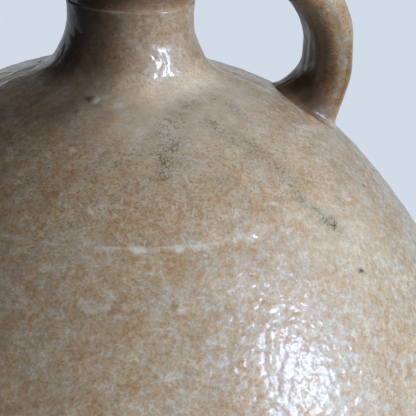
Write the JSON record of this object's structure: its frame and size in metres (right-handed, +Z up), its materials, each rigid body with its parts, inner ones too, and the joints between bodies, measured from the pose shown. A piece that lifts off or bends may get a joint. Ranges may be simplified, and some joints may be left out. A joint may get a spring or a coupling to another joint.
{
  "type": "stoneware jug",
  "caption": "Narrow-necked salt-glazed stoneware jug with an ovoid body, a collared mouth and a strap handle from collar to shoulder.",
  "frame": {"origin": "middle of the flat base, on the surface that the jug stands on", "axes": "+Z up along the turned axis, +X from the axis towards the handle, so that the handle lies in the XZ plane"},
  "size_m": [0.2624, 0.2624, 0.3419],
  "materials": {
    "body_glaze": "glossy orange-peel salt glaze over buff clay, mottled tan and grey",
    "shoulder_glaze": "glossy orange-peel salt glaze, mottled tan with green-grey flecks",
    "collar_glaze": "glossy salt glaze, browner than the body",
    "handle_glaze": "glossy salt glaze, browner than the body"
  },
  "bodies": {
    "root": {"lower_body": "body_glaze", "shoulder": "shoulder_glaze", "neck_collar": "collar_glaze", "handle": "handle_glaze"}
  },
  "joints": []
}
